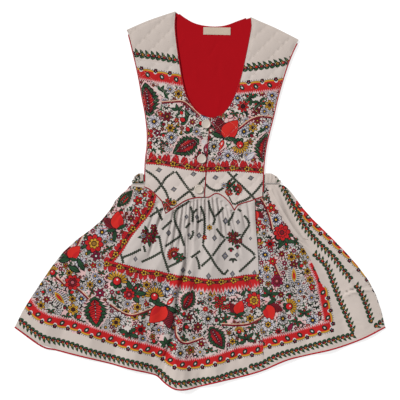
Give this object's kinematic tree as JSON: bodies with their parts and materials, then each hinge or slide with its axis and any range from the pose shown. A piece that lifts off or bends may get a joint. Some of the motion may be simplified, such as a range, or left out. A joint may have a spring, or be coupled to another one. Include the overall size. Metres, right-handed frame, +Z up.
{
  "type": "dirndl",
  "caption": "Child's quilted sleeveless dirndl laid flat: deep scoop neck, buttoned front over a shaped yoke, and a full gathered skirt with a piped hem.",
  "frame": {"origin": "on the surface that the garment lies on, under the middle of its outline", "axes": "+Y from the hem towards the neck, +Z up from the surface through the front of the garment, +X to the right as seen from above"},
  "size_m": [0.7246, 0.7386, 0.0141],
  "materials": {
    "print_cotton": "cream cotton printed with flowers, leaves and borders, matte",
    "plain_cotton": "cream cotton, matte",
    "red_lining": "plain red cotton, matte",
    "red_piping": "red covered cord, matte",
    "label_tape": "cream woven tape, bare",
    "button": "cream, satin"
  },
  "bodies": {
    "root": {"skirt_back": "print_cotton", "bodice_back": "print_cotton", "waistband_back": "plain_cotton", "back_lining": "red_lining", "label": "label_tape", "bodice_front_left": "print_cotton", "bodice_front_right": "print_cotton", "skirt_front": "print_cotton", "skirt_side_right": "print_cotton", "casing_left": "print_cotton", "casing_right": "plain_cotton", "piping_armhole_left": "red_piping", "piping_armhole_right": "red_piping", "piping_neck_left": "red_piping", "piping_neck_right": "red_piping", "piping_neck_back": "red_piping", "piping_front_edge": "red_piping", "piping_yoke_left": "red_piping", "piping_yoke_right": "red_piping", "piping_hem": "red_piping", "button_1": "button", "button_2": "button", "button_3": "button"}
  },
  "joints": []
}
